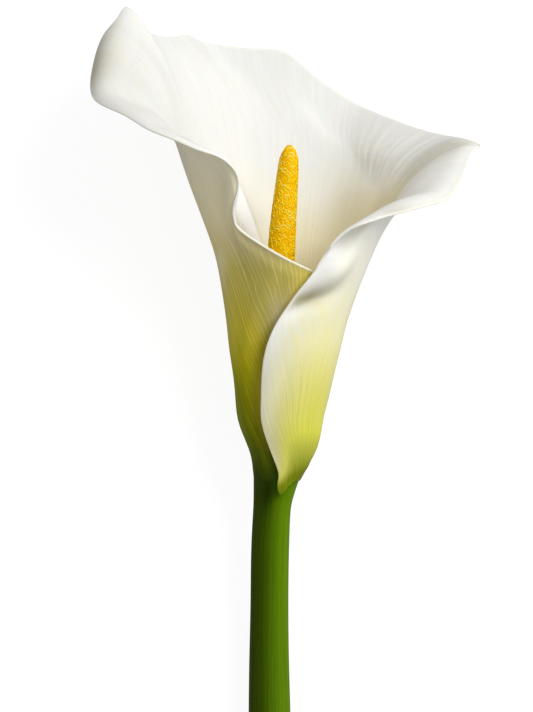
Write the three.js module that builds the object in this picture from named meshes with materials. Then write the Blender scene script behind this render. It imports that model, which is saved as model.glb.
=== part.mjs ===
// A cut calla lily bloom lying on a table: the stem, the one rolled spathe and the spadix inside it.
// Everything is first shaped in the flower's own frame (mm): X to the right, Y from the stem to the
// mouth, Z to the open front. layDown() then tips it onto the table, +Z up.
import * as THREE from 'three';

// ---- stem ----
const STEM_LENGTH = 112;         // below the foot of the spathe
const STEM_END_RADIUS = 6.2;     // at the cut
const STEM_SEGMENTS = 32;
const STEM_RING_STEP = 5;        // between rings along the stem
const NECK_RINGS = [-7.5, -5.5, -3.5, -1.5, 0];  // heights of the closer rings where it widens
const COLLAR_RADIUS = 6.5;       // top of the stem, flush with the foot of the spathe
const STUB_RADIUS = 5.3;         // core that goes on inside the foot of the spathe
const STUB_TOP = 3.0;
// height, centre across, radius
const STEM_LINE = [
  [-112, -1.0, STEM_END_RADIUS], [-64, -1.0, 5.8], [-51, -1.1, 5.55], [-34, -1.0, 5.3],
  [-20.7, -0.84, 5.3], [-12, -0.5, 5.25], [-7.3, -0.15, 5.35], [-3.9, 0.35, 5.8],
  [0, 1.05, COLLAR_RADIUS],
];

// ---- how the bloom lies ----
const TILT = THREE.MathUtils.degToRad(12.9);  // flower axis above the table
const STEM_BOW = Math.tan(TILT) / (2 * STEM_LENGTH);  // brings the cut end level on the table
const AXIS_HEIGHT = STEM_END_RADIUS + STEM_LENGTH * Math.sin(TILT)
  - STEM_BOW * STEM_LENGTH ** 2 * Math.cos(TILT);
const REST_SOFTNESS = 1.0;       // how softly the back rim bends where it meets the table
const REST_SNAP = 0.25;          // skin this close to the table lies flat on it
const CLEAR_OF_TABLE = 30;       // this many softnesses up, the table is no longer felt

// ---- spathe: the tube ----
const THICK = 0.9;               // of the sheet
const RIM_THICK = 0.7;           // at its free edge
const THIN_FROM = 0.7;           // share of the lip where it starts to thin to the rim
// height, outline on the left, outline on the right
const TUBE = [
  [0, -5.5, 7.6], [2.8, -5.7, 9.6], [6.2, -6.2, 11.1], [12.9, -8.7, 13.0], [16.2, -9.8, 13.6],
  [23.0, -10.6, 15.3], [29.7, -11.3, 16.9], [36.4, -12.3, 18.6], [43.1, -13.0, 20.3],
  [49.8, -13.9, 22.5], [56.6, -15.0, 25.1], [63.3, -16.5, 27.9], [70.0, -18.8, 30.7],
  [76.7, -21.3, 33.9], [83.4, -23.8, 37.0], [93.5, -27.2, 41.4], [105.8, -31.4, 46.2],
];
const TUBE_LEAN = 0.02;          // the axis leans to the back by this much of its height
const FOOT_HEIGHT = 0.3;         // gap between the stem's collar and the foot
const TOE_DROP = 4.6;            // the outer flap ends in a toe this far below the foot
const TOE_SPAN = 42;             // degrees of the sheet that the toe takes
// ---- spathe: how the two margins overlap in front ----
const AZ_FLAP = 27;              // azimuth of the outer margin at the mouth; 0 front, 90 right
const FLAP_LIFT = 1.3;           // outer flap stands off the tube
const LIFT_END = 95;             // azimuth where the flap lies on the tube's own surface
const LIFT_FADE = 34;            // degrees over which it comes down to it
const LIFT_FOOT = 26;            // degrees that the lifted part is narrower by at the foot
const LIFT_RISE = 10;            // height where it has its full width
const FLAP_REACH = 95;           // degrees of sheet that follow the margin's own line
const TUCK_START = 300;          // azimuth where the tucked side starts
const TUCK_SPAN = 76;            // degrees from there to its margin
const TUCK_TURN = 10;            // the tucked margin goes this much further round at the foot
const TURN_TOP = 60;             // height where it no longer does
const TURN_FADE = 50;            // height over which that turn fades out
const TUCK_IN = 2.6;             // the tucked sheet lies this much further in
const TUCK_SLOPE = 32;           // degrees over which the sheet sinks in under the outer flap
const TUCK_TOP = 58;             // above this height the flap's margin no longer leads the sinking
const SINK_FOOT = 1;             // height where it starts to sink in
const SINK_RISE = 16;            // height over which it sinks in fully
// height, azimuth of the outer flap's free margin
const FLAP_MARGIN = [
  [-4.4, 5.5], [-2.2, 0.5], [0, 2], [3, -6], [6.5, -16], [11, -22], [20, -24], [28, -22.5], [37, -16.5],
  [45, -6], [52, 7], [58, 15], [65, 26],
];
// ---- spathe: the rim, from the flap round the right, the back and the left to the tucked margin ----
// x, y, z, azimuth where it leaves the tube, roll of the edge (0 up, 90 out, more drooping),
// shoulder, share of its length that keeps the tube's direction, length that has the edge's
const RIM = [
  [15.5, 64.0, 22.0, 27, 50, 50, 0.38, 6], [20.0, 68.0, 24.0, 40, 96, 50, 0.42, 5],
  [25.0, 70.0, 25.0, 52, 128, 50, 0.46, 6], [31.2, 72.0, 23.5, 63, 138, 52, 0.48, 9],
  [36.8, 73.5, 21.5, 71, 136, 56, 0.46, 11], [43.0, 75.3, 18.5, 78, 130, 59, 0.42, 12],
  [47.8, 77.1, 15.5, 84, 122, 62, 0.4, 12], [50.4, 80.0, 13.0, 88, 116, 64, 0.38, 12],
  [53.4, 85.7, 9.0, 95, 110, 68, 0.37, 11], [56.3, 91.4, 5.5, 101, 104, 71, 0.36, 10],
  [57.7, 92.6, 4.0, 103, 100, 72, 0.36, 10], [56.0, 94.0, 0.5, 106, 94, 73, 0.36, 10],
  [52.5, 95.8, -8.0, 112, 80, 76, 0.37, 11], [45.9, 98.1, -19.0, 123, 66, 80, 0.38, 14],
  [33.4, 103.9, -34.5, 140, 50, 84, 0.38, 18], [22.0, 110.0, -46.0, 154, 36, 88, 0.38, 20],
  [11.5, 116.8, -51.0, 166, 32, 92, 0.38, 20], [3.5, 123.2, -52.5, 176, 32, 96, 0.38, 20],
  [-6.5, 124.2, -52.5, 189, 32, 96, 0.38, 20], [-15.5, 125.7, -50.5, 200, 38, 96, 0.38, 20],
  [-21.5, 127.2, -46.0, 208, 42, 96, 0.38, 18], [-25.4, 128.6, -42.0, 214, 44, 96, 0.38, 17],
  [-29.3, 127.5, -36.5, 221, 44, 96, 0.37, 14], [-33.6, 127.3, -31.0, 228, 42, 96, 0.36, 12],
  [-37.4, 128.4, -25.0, 234, 42, 95, 0.34, 11], [-40.4, 131.6, -20.5, 239, 48, 94, 0.32, 12],
  [-42.3, 134.0, -18.0, 241, 54, 94, 0.32, 13], [-44.2, 131.2, -16.5, 244, 62, 94, 0.31, 15],
  [-48.0, 125.0, -10.0, 254, 80, 92, 0.3, 19], [-50.5, 115.0, -1.0, 265, 92, 90, 0.3, 20],
  [-50.5, 107.5, 8.0, 276, 98, 88, 0.3, 19], [-48.5, 104.0, 12.5, 280, 100, 87, 0.32, 17],
  [-41.0, 100.0, 19.0, 286, 102, 84, 0.34, 14], [-34.0, 95.5, 25.0, 291, 104, 80, 0.36, 12],
  [-27.0, 92.5, 28.0, 295.5, 105, 77, 0.38, 11], [-20.0, 89.5, 29.0, 300.5, 102, 73, 0.38, 10],
  [-14.0, 87.5, 28.0, 305, 96, 70, 0.38, 8], [-10.0, 84.0, 26.0, 309, 80, 66, 0.38, 7],
  [-9.5, 80.5, 23.5, 312, 60, 62, 0.38, 6], [-11.0, 75.0, 20.3, 315, 40, 60, 0.38, 6],
  [-10.5, 70.5, 18.7, 318, 30, 57, 0.38, 6], [-6.0, 66.5, 19.4, 327, 24, 53, 0.38, 6],
  [2.5, 61.5, 19.5, 346, 18, 50, 0.38, 5], [11.0, 57.5, 15.9, 374, 5, 48, 0.38, 4],
];
const RIM_SPACING_POWER = 0.6;   // closer cells where the rim bends tightly
const HUG_START = 301;           // from this azimuth on the lip keeps to the funnel's own surface
const HUG_SPAN = 10;             // degrees over which it takes to it
const SLOPE_STEP = 0.5;          // height over which the slope at the shoulder is taken
// azimuth, how far the sheet swells to the inside behind its edge, over this reach
const CURL = [
  [27, 0, 4], [48, 0.1, 5], [63, 0.3, 8], [84, 0.5, 10], [100, 0.3, 9], [112, 0.1, 8], [150, 0, 8],
  [232, 0, 8], [241, 0.3, 7], [250, 1.6, 10], [262, 2.4, 11], [272, 2.4, 11], [278, 1.8, 10],
  [286, 1.0, 8], [294, 0.6, 5], [312, 0.4, 4], [361, 0.3, 4], [376, 0.2, 3],
];
const CURL_SCALE = 27 / 4;       // makes the highest point of away * (1 - away) ** 2 one
// ---- spathe: soft relief of the outer flap: azimuth, height, climb, their spreads, depth ----
const DENT = { azimuth: 20, height: 49.8, climb: 0.1, turn: 18, rise: 3.2, depth: -2.6 };
const HUMP = { azimuth: 32, height: 57, climb: 0.2, turn: 12, rise: 4.3, depth: 2.7 };
const FLARE = { azimuth: AZ_FLAP, height: 35, climb: 0, turn: 14, rise: 11, depth: 1.2 };
const RELIEF_END = 150;          // azimuth where the flap's relief has died away
const RELIEF_FADE = 40;          // degrees over which it dies away
const AROUND_CELLS = 92;         // along the rim
const TUBE_CELLS = 12;           // foot to shoulder
const LIP_CELLS = 13;            // shoulder to rim

// ---- spadix ----
// height, centre across, radius
const SPADIX_LINE = [
  [3.3, 1.0, 4.2], [8, 1.0, 4.5], [20, 1.2, 4.4], [45, 1.8, 4.05], [65.8, 2.5, 3.85],
  [78.1, 3.45, 3.4], [87.9, 4.35, 2.85], [93.4, 4.7, 2.4],
];
const SPADIX_FOOT = 3.3;
const SPADIX_TOP = 93.4;
const SPADIX_CAP = 5.4;          // length of the rounded tip
const SPADIX_LEAN = 0.03;        // to the back by this much of its height
const FLORETS_AROUND = 7;
const FLORET_ROW = 2.0;          // height between one row of florets and the next
const FLORET_RELIEF = 0.35;      // from a hollow to the top of a floret
const FLORET_LEVEL = 0.4;        // share of it that lies below the spadix's mean radius
const SPADIX_SEGMENTS = 28;
const SPADIX_RING_STEP = 1.0;
const SPADIX_CAP_RINGS = 6;
const TIP_FLAT = 0.02;           // share of the cap that the small flat at the tip leaves off

const clamp = THREE.MathUtils.clamp;
const rad = THREE.MathUtils.degToRad;
const deg = THREE.MathUtils.radToDeg;
const smooth = (x) => THREE.MathUtils.smoothstep(x, 0, 1);
const bell = (x, spread) => Math.exp(-((x / spread) ** 2));

// Natural cubic through rows [t, v1, v2 ...]; the ends hold their values.
function spline(rows) {
  const n = rows.length;
  const t = rows.map((row) => row[0]);
  const width = rows[0].length - 1;
  const bend = [];
  for (let c = 1; c <= width; c += 1) {
    const m = new Array(n).fill(0);
    const upper = new Array(n).fill(0);
    for (let i = 1; i < n - 1; i += 1) {
      const before = t[i] - t[i - 1];
      const after = t[i + 1] - t[i];
      const slopeAfter = (rows[i + 1][c] - rows[i][c]) / after;
      const slopeBefore = (rows[i][c] - rows[i - 1][c]) / before;
      const pivot = 2 * (before + after) - before * upper[i - 1];
      upper[i] = after / pivot;
      m[i] = (6 * (slopeAfter - slopeBefore) - before * m[i - 1]) / pivot;
    }
    for (let i = n - 2; i > 0; i -= 1) {
      m[i] -= upper[i] * m[i + 1];
    }
    bend.push(m);
  }
  return (at) => {
    const x = clamp(at, t[0], t[n - 1]);
    let i = 0;
    while (i < n - 2 && x >= t[i + 1]) {
      i += 1;
    }
    const step = t[i + 1] - t[i];
    const q = (x - t[i]) / step;
    const p = 1 - q;
    return bend.map((m, c) => p * rows[i][c + 1] + q * rows[i + 1][c + 1]
      + ((p ** 3 - p) * m[i] + (q ** 3 - q) * m[i + 1]) * step ** 2 / 6);
  };
}

const tubeOutline = spline(TUBE);
const flapMargin = spline(FLAP_MARGIN);
const curlAt = spline(CURL);
const stemLine = spline(STEM_LINE);
const spadixLine = spline(SPADIX_LINE);

// The rim's knots are spaced along it by a power of their distance.
function rimSpline() {
  const marks = [0];
  for (let i = 1; i < RIM.length; i += 1) {
    const [a, b] = [RIM[i - 1], RIM[i]];
    const chord = Math.hypot(b[0] - a[0], b[1] - a[1], b[2] - a[2]);
    marks.push(marks[i - 1] + chord ** RIM_SPACING_POWER);
  }
  const whole = marks[marks.length - 1];
  return spline(RIM.map((row, i) => [marks[i] / whole, ...row]));
}
const rimAt = rimSpline();

// ---- from the flower's frame to the table and back ----
function layDown(p) {
  return new THREE.Vector3(
    p.x,
    p.y * Math.cos(TILT) - p.z * Math.sin(TILT),
    p.y * Math.sin(TILT) + p.z * Math.cos(TILT) + AXIS_HEIGHT,
  );
}

function standUp(q) {
  const z = q.z - AXIS_HEIGHT;
  return new THREE.Vector3(
    q.x,
    q.y * Math.cos(TILT) + z * Math.sin(TILT),
    -q.y * Math.sin(TILT) + z * Math.cos(TILT),
  );
}

// ---- spathe ----
// The funnel's surface; turns past 300 degrees run in under the outer flap.
function funnelPoint(turn, y) {
  const liftEnd = LIFT_END - LIFT_FOOT * (1 - smooth(y / LIFT_RISE));
  const lift = FLAP_LIFT * smooth((liftEnd - turn) / LIFT_FADE);
  const under = turn - 360 - flapMargin(Math.min(y, TUCK_TOP))[0];
  const sink = TUCK_IN * smooth(1 + under / TUCK_SLOPE) * smooth((y - SINK_FOOT) / SINK_RISE);
  const [left, right] = tubeOutline(y);
  const radius = (right - left) / 2 - THICK / 2 + lift - sink;
  return new THREE.Vector3(
    (left + right) / 2 + radius * Math.sin(rad(turn)),
    y,
    -TUBE_LEAN * Math.max(y, 0) + radius * Math.cos(rad(turn)),
  );
}

function tubeTurn(azimuth, y) {
  const follow = smooth(1 - (azimuth - AZ_FLAP) / FLAP_REACH);
  const tuck = smooth((azimuth - TUCK_START) / TUCK_SPAN) * smooth((TURN_TOP - y) / TURN_FADE);
  return azimuth + (flapMargin(y)[0] - AZ_FLAP) * follow + TUCK_TURN * tuck;
}

function withRelief(point, azimuth) {
  const [left, right] = tubeOutline(point.y);
  const away = new THREE.Vector3(point.x - (left + right) / 2, 0, point.z + TUBE_LEAN * point.y);
  const turn = deg(Math.atan2(away.x, away.z));
  const swell = (r, at) => r.depth * bell(at - r.azimuth, r.turn)
    * bell(point.y - r.height - r.climb * (at - r.azimuth), r.rise);
  const relief = swell(DENT, turn) + swell(HUMP, turn) + swell(FLARE, azimuth);
  const onFlap = smooth((RELIEF_END - azimuth) / RELIEF_FADE);
  return point.addScaledVector(away.normalize(), relief * onFlap);
}

// u goes along the rim, s from the foot to the shoulder (0 to 1) and on to the rim (1 to 2).
function sheetPoint(u, s) {
  const [x, y, z, azimuth, roll, shoulder, reach, bend] = rimAt(u);
  const foot = FOOT_HEIGHT - TOE_DROP * smooth((AZ_FLAP + TOE_SPAN - azimuth) / TOE_SPAN);
  if (s <= 1) {
    const height = foot + (shoulder - foot) * s;
    return withRelief(funnelPoint(tubeTurn(azimuth, height), height), azimuth);
  }
  const leaves = tubeTurn(azimuth, shoulder);
  const start = funnelPoint(leaves, shoulder);
  const below = shoulder - SLOPE_STEP;
  const before = funnelPoint(tubeTurn(azimuth, below), below);
  const rising = start.clone().sub(before).normalize();
  const rim = new THREE.Vector3(x, y, z);
  const [left, right] = tubeOutline(y);
  const facing = Math.atan2(x - (left + right) / 2, z + TUBE_LEAN * y);
  const out = new THREE.Vector3(
    Math.sin(rad(roll)) * Math.sin(facing),
    Math.cos(rad(roll)),
    Math.sin(rad(roll)) * Math.cos(facing),
  );
  const curve = new THREE.CubicBezierCurve3(
    start,
    start.clone().addScaledVector(rising, rim.distanceTo(start) * reach),
    rim.clone().addScaledVector(out, -bend),
    rim,
  );
  const t = s - 1;
  const ends = deg(facing) + (azimuth > 180 ? 360 : 0);
  const along = funnelPoint(leaves + (ends - leaves) * t ** 2, shoulder + (y - shoulder) * t);
  along.addScaledVector(rim.clone().sub(funnelPoint(ends, y)), t ** 2);
  const lip = curve.getPoint(t).lerp(along, smooth((azimuth - HUG_START) / HUG_SPAN));
  return withRelief(lip, azimuth);
}

// The table stops the sheet's middle face softly at half its thickness.
function softRest(point, half) {
  const q = layDown(point);
  const depth = (q.z - half) / REST_SOFTNESS;
  if (depth < CLEAR_OF_TABLE) {
    q.z = half + REST_SOFTNESS * Math.log1p(Math.exp(depth));
  }
  return standUp(q);
}

function flatOnTable(point) {
  const q = layDown(point);
  if (q.z < REST_SNAP) {
    q.z = 0;
  }
  return q;
}

// Square to the sheet, to the outside.
function normalAt(sheet, i, j) {
  const [last, top] = [sheet.length - 1, sheet[0].length - 1];
  const across = sheet[Math.min(i + 1, last)][j].clone().sub(sheet[Math.max(i - 1, 0)][j]);
  const up = sheet[i][Math.min(j + 1, top)].clone().sub(sheet[i][Math.max(j - 1, 0)]);
  return across.cross(up).normalize();
}

// The sheet swells to the inside a little way behind its edge, so the edge turns outwards.
function curled(sheet, azimuths) {
  return sheet.map((line, i) => {
    const [height, reach] = curlAt(azimuths[i]);
    const edge = line[line.length - 1];
    return line.map((point, j) => {
      const away = Math.min(point.distanceTo(edge) / reach, 1);
      const swell = height * CURL_SCALE * away * (1 - away) ** 2;
      return point.clone().addScaledVector(normalAt(sheet, i, j), -swell);
    });
  });
}

function spatheGeometry() {
  const rows = TUBE_CELLS + LIP_CELLS;
  const heightAt = (j) => (j <= TUBE_CELLS ? j / TUBE_CELLS : 1 + (j - TUBE_CELLS) / LIP_CELLS);
  const sheet = [];
  const azimuths = [];
  for (let i = 0; i <= AROUND_CELLS; i += 1) {
    const u = i / AROUND_CELLS;
    sheet.push([]);
    azimuths.push(rimAt(u)[3]);
    for (let j = 0; j <= rows; j += 1) {
      sheet[i].push(sheetPoint(u, heightAt(j)));
    }
  }
  const middle = curled(sheet, azimuths).map((line) => line.map((p) => softRest(p, THICK / 2)));
  const corners = [];
  const index = (i, j, face) => face * (AROUND_CELLS + 1) * (rows + 1) + i * (rows + 1) + j;
  for (const side of [1, -1]) {
    for (let i = 0; i <= AROUND_CELLS; i += 1) {
      for (let j = 0; j <= rows; j += 1) {
        const thin = smooth((heightAt(j) - 1 - THIN_FROM) / (1 - THIN_FROM));
        const half = (THICK + (RIM_THICK - THICK) * thin) / 2;
        const skin = middle[i][j].clone().addScaledVector(normalAt(middle, i, j), side * half);
        corners.push(side > 0 ? flatOnTable(skin) : layDown(skin));
      }
    }
  }
  const faces = [];
  const quad = (a, b, c, d) => faces.push(a, b, c, a, c, d);
  for (let i = 0; i < AROUND_CELLS; i += 1) {
    for (let j = 0; j < rows; j += 1) {
      const [a, b, c, d] = [[i, j], [i + 1, j], [i + 1, j + 1], [i, j + 1]];
      const far = (p, q) => middle[p[0]][p[1]].distanceTo(middle[q[0]][q[1]]);
      const ring = far(a, c) <= far(b, d) ? [a, b, c, d] : [b, c, d, a];
      quad(...ring.map(([m, n]) => index(m, n, 0)));
      const [p, q, r, t] = ring.map(([m, n]) => index(m, n, 1));
      faces.push(p, r, q, p, t, r);
    }
  }
  for (let i = 0; i < AROUND_CELLS; i += 1) {
    quad(index(i, rows, 0), index(i + 1, rows, 0), index(i + 1, rows, 1), index(i, rows, 1));
    quad(index(i, 0, 1), index(i + 1, 0, 1), index(i + 1, 0, 0), index(i, 0, 0));
  }
  for (let j = 0; j < rows; j += 1) {
    const last = AROUND_CELLS;
    quad(index(0, j, 0), index(0, j + 1, 0), index(0, j + 1, 1), index(0, j, 1));
    quad(index(last, j, 1), index(last, j + 1, 1), index(last, j + 1, 0), index(last, j, 0));
  }
  return closedBody(corners, faces);
}

// ---- round pieces: rings of the same count of corners, closed at both ends ----
function loftGeometry(rings) {
  const count = rings[0].length;
  const corners = rings.flat();
  const faces = [];
  for (let k = 0; k < rings.length - 1; k += 1) {
    for (let i = 0; i < count; i += 1) {
      const next = (i + 1) % count;
      const [a, b] = [k * count + i, k * count + next];
      faces.push(a, b, b + count, a, b + count, a + count);
    }
  }
  const top = (rings.length - 1) * count;
  const middleOf = (ring) => ring.reduce((sum, p) => sum.add(p), new THREE.Vector3())
    .divideScalar(count);
  corners.push(middleOf(rings[0]), middleOf(rings[rings.length - 1]));
  for (let i = 0; i < count; i += 1) {
    const next = (i + 1) % count;
    faces.push(corners.length - 2, next, i);
    faces.push(corners.length - 1, top + i, top + next);
  }
  return closedBody(corners.map(layDown), faces);
}

// A ring square to its axis; the first corner faces the back, so it is the lowest one on the table.
function ringOf(centre, direction, count, radiusAt) {
  const ahead = direction.clone().normalize();
  const back = new THREE.Vector3(0, 0, -1);
  back.addScaledVector(ahead, -back.dot(ahead)).normalize();
  const side = back.clone().cross(ahead).negate();
  const ring = [];
  for (let i = 0; i < count; i += 1) {
    const turn = 2 * Math.PI * i / count;
    const radius = radiusAt(turn);
    ring.push(centre.clone()
      .addScaledVector(back, radius * Math.cos(turn))
      .addScaledVector(side, radius * Math.sin(turn)));
  }
  return ring;
}

function stemGeometry() {
  const heights = [];
  for (let y = -STEM_LENGTH; y < NECK_RINGS[0] - STEM_RING_STEP / 2; y += STEM_RING_STEP) {
    heights.push(y);
  }
  heights.push(...NECK_RINGS);
  const centreAt = (y) => new THREE.Vector3(stemLine(y)[0], y, STEM_BOW * y * y);
  const rings = heights.map((y) => {
    const direction = centreAt(y + 1).sub(centreAt(y - 1));
    return ringOf(centreAt(y), direction, STEM_SEGMENTS, () => stemLine(y)[1]);
  });
  const up = new THREE.Vector3(0, 1, 0);
  const collar = centreAt(0);
  rings[rings.length - 1] = ringOf(collar, up, STEM_SEGMENTS, () => COLLAR_RADIUS);
  rings.push(ringOf(collar, up, STEM_SEGMENTS, () => STUB_RADIUS));
  collar.y = STUB_TOP;
  rings.push(ringOf(collar, up, STEM_SEGMENTS, () => STUB_RADIUS));
  return loftGeometry(rings);
}

function spadixGeometry() {
  const heights = [];
  const shoulder = SPADIX_TOP - SPADIX_CAP;
  for (let y = SPADIX_FOOT; y < shoulder - SPADIX_RING_STEP / 2; y += SPADIX_RING_STEP) {
    heights.push(y);
  }
  for (let k = 0; k < SPADIX_CAP_RINGS; k += 1) {
    heights.push(shoulder + SPADIX_CAP * Math.sin((Math.PI / 2) * k / SPADIX_CAP_RINGS));
  }
  heights.push(SPADIX_TOP - TIP_FLAT * SPADIX_CAP);
  const up = new THREE.Vector3(0, 1, -SPADIX_LEAN);
  const rings = heights.map((y) => {
    const [across, thick] = spadixLine(y);
    const roundOff = Math.sqrt(1 - clamp((y - shoulder) / SPADIX_CAP, 0, 1) ** 2);
    const rise = Math.PI * y / FLORET_ROW;
    const knob = (turn) => (1 + Math.cos(FLORETS_AROUND * turn + rise))
      * (1 + Math.cos(FLORETS_AROUND * turn - rise)) / 4;
    const centre = new THREE.Vector3(across, y, -SPADIX_LEAN * y);
    return ringOf(centre, up, SPADIX_SEGMENTS, (turn) => (thick
      + FLORET_RELIEF * (knob(turn) - FLORET_LEVEL)) * roundOff);
  });
  return loftGeometry(rings);
}

function closedBody(corners, faces) {
  const geometry = new THREE.BufferGeometry();
  geometry.setAttribute('position', new THREE.Float32BufferAttribute(
    corners.flatMap((p) => [p.x, p.y, p.z]), 3));
  geometry.setIndex(faces);
  geometry.computeVertexNormals();
  return geometry;
}

function piece(name, geometry, color, roughness) {
  const material = new THREE.MeshStandardMaterial({ color, roughness, metalness: 0 });
  const mesh = new THREE.Mesh(geometry, material);
  mesh.name = name;
  return mesh;
}

const bloom = new THREE.Group();
bloom.name = 'calla_lily';
bloom.add(piece('stem', stemGeometry(), 0x4f6b12, 0.5));
bloom.add(piece('spathe', spatheGeometry(), 0xf3f0e2, 0.5));
bloom.add(piece('spadix', spadixGeometry(), 0xe3ae1a, 0.7));

// The origin goes under the middle of the whole bloom.
const whole = new THREE.Box3().setFromObject(bloom);
const middle = whole.getCenter(new THREE.Vector3());
for (const mesh of bloom.children) {
  mesh.geometry.translate(-middle.x, -middle.y, -whole.min.z);
}

export default bloom;
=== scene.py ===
import math
from functools import partial
import bpy
import numpy as np
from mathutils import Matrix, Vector


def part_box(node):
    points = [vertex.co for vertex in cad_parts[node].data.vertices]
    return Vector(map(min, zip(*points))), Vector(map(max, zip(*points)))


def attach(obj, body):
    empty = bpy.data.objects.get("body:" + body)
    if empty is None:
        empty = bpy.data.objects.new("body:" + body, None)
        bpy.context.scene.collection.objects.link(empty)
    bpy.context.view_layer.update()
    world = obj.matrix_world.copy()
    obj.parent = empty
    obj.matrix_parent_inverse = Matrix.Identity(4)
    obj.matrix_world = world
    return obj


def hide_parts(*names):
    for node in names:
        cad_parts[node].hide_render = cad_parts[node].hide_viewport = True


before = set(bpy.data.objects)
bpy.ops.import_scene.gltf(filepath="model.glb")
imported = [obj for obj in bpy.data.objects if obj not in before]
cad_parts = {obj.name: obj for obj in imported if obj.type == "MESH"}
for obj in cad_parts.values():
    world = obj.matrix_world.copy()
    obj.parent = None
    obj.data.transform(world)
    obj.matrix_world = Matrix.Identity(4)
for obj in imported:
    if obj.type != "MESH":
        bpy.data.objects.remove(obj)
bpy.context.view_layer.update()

# ---------------------------------------------------------------------------
# Stem: one round fleshy flower stalk, cut square at its lower end.
# Green plant tissue, smooth and waxy, with fine lengthwise ribs; it bows a little so that
# the cut end lies level on the table, and widens into the collar that carries the spathe.
# ---------------------------------------------------------------------------
MM = 0.001
STEM_LENGTH = 112.0
STEM_END_RADIUS = 6.2
COLLAR_RADIUS = 6.5
STUB_RADIUS = 5.3
STUB_TOP = 3.0
STEM_LINE = [   # height, centre across, radius
    (-112, -1.0, STEM_END_RADIUS), (-64, -1.0, 5.8), (-51, -1.1, 5.55), (-34, -1.0, 5.3),
    (-20.7, -0.84, 5.3), (-12, -0.5, 5.25), (-7.3, -0.15, 5.35), (-3.9, 0.35, 5.8),
    (0, 1.05, COLLAR_RADIUS)]
TILT = math.radians(12.9)
STEM_BOW = math.tan(TILT) / (2 * STEM_LENGTH)
AXIS_HEIGHT = (STEM_END_RADIUS + STEM_LENGTH * math.sin(TILT)
               - STEM_BOW * STEM_LENGTH ** 2 * math.cos(TILT))
STEM_AROUND = 96
STEM_RING_STEP = 1.6
STEM_RIBS = ((0.6, 23, 0.4), (0.4, 37, 2.1), (0.5, 58, 4.4))   # share, number round, shift
STEM_RIB_DEPTH = 0.05
RIB_FADE = 6.0          # the ribs fade out over this much below the collar
SKIN_INSET = 0.02       # the skin lies this far inside the stem's full radius
CUT_BEVEL = 0.3         # the cut's rim is narrower by this
CUT_HOLLOW = 0.25       # depth in the middle of the cut
CUT_RINGS = (0.86, 0.7, 0.5, 0.28)   # shares of the cut's radius
SHADE_RISE, SHADE_WIDTH = 6.5, 0.17  # how far the painted shadow under the spathe's toe, partly a deeper green, reaches, up and across


def smooth(x):
    x = np.clip(x, 0.0, 1.0)
    return x * x * (3.0 - 2.0 * x)


def bell(x, spread):
    return np.exp(-(x / spread) ** 2)


def spline(rows):
    """Natural cubic through rows (t, v1, v2 ...); the ends hold their values."""
    table = np.asarray(rows, float)
    t, v = table[:, 0], table[:, 1:]
    step = np.diff(t)
    system, slopes = np.eye(len(t)), np.zeros_like(v)
    for i in range(1, len(t) - 1):
        system[i, i - 1:i + 2] = (step[i - 1], 2 * (step[i - 1] + step[i]), step[i])
        slopes[i] = 6 * ((v[i + 1] - v[i]) / step[i] - (v[i] - v[i - 1]) / step[i - 1])
    bend = np.linalg.solve(system, slopes)

    def at(x):
        x = np.clip(np.asarray(x, float), t[0], t[-1])
        i = np.clip(np.searchsorted(t, x, side="right") - 1, 0, len(t) - 2)
        q = ((x - t[i]) / step[i])[..., None]
        p = 1 - q
        return (p * v[i] + q * v[i + 1]
                + ((p ** 3 - p) * bend[i] + (q ** 3 - q) * bend[i + 1]) * step[i][..., None] ** 2 / 6)
    return at


def lay_down(p):
    """From the flower's own frame (X right, Y to the mouth, Z to the open front) to the table, mm."""
    y, z = p[..., 1], p[..., 2]
    return np.stack([p[..., 0], y * math.cos(TILT) - z * math.sin(TILT),
                     y * math.sin(TILT) + z * math.cos(TILT) + AXIS_HEIGHT], -1)


def stand_up(q):
    y, z = q[..., 1], q[..., 2] - AXIS_HEIGHT
    return np.stack([q[..., 0], y * math.cos(TILT) + z * math.sin(TILT),
                     -y * math.sin(TILT) + z * math.cos(TILT)], -1)


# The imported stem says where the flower's frame stands on the table.
stem_low = np.array(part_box("stem")[0]) / MM
end_centre = lay_down(np.array([-1.0, -STEM_LENGTH, STEM_BOW * STEM_LENGTH ** 2]))
PLACE = np.array([stem_low[0] - (end_centre[0] - STEM_END_RADIUS), stem_low[1] - end_centre[1], 0.0])


def on_table(points):
    return (lay_down(points) + PLACE) * MM


def mesh_piece(name, points, faces, material, uv=None, masks=None):
    """points in metres; uv one pair and masks one number a point."""
    mesh = bpy.data.meshes.new(name)
    mesh.from_pydata(points.tolist(), [], faces)
    for face in mesh.polygons:
        face.use_smooth = True
    if uv is not None:
        layer = mesh.uv_layers.new(name="UVMap")
        loops = np.empty(len(mesh.loops), int)
        mesh.loops.foreach_get("vertex_index", loops)
        layer.data.foreach_set("uv", uv[loops].ravel())
    for key, values in (masks or {}).items():
        mesh.attributes.new(key, "FLOAT", "POINT").data.foreach_set("value", values)
    mesh.materials.append(material)
    mesh.validate()
    piece = bpy.data.objects.new(name, mesh)
    bpy.context.scene.collection.objects.link(piece)
    return piece


def fill(link, sockets, values):
    """Links each value that is a socket and sets each plain one."""
    for socket, value in zip(sockets, values):
        if isinstance(value, bpy.types.NodeSocket):
            link(value, socket)
        else:
            socket.default_value = value


def maths(nodes, link, how, *values, clamp=False):
    node = nodes.new("ShaderNodeMath")
    node.operation, node.use_clamp = how, clamp
    fill(link, node.inputs, values)
    return node.outputs["Value"]


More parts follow.
